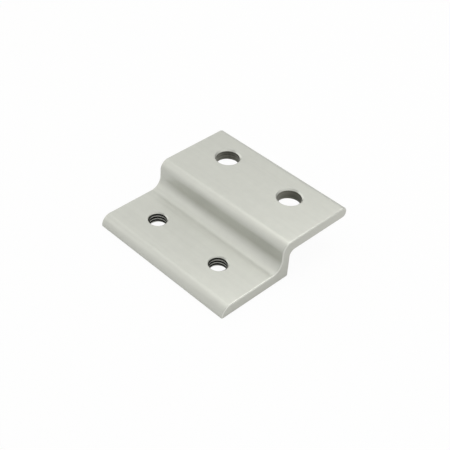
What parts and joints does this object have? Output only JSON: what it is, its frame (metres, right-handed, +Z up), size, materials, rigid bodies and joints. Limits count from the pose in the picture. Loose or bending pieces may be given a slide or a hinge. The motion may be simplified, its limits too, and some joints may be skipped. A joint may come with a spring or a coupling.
{
  "type": "panel retainer",
  "caption": "Z-shaped aluminium retainer with plain holes for frame bolts in one flange and tapped holes for panel screws in the other.",
  "frame": {"origin": "midway between the two frame bolt holes, on the underside of the upper flange, the face that sits on the frame", "axes": "+X along the extrusion, +Y across it from the panel side to the frame side, +Z up out of the upper flange"},
  "size_m": [0.0508, 0.049, 0.0125],
  "materials": {
    "anodised_aluminium": "satin clear anodised"
  },
  "bodies": {
    "root": {"panel_retainer": "anodised_aluminium"}
  },
  "joints": []
}
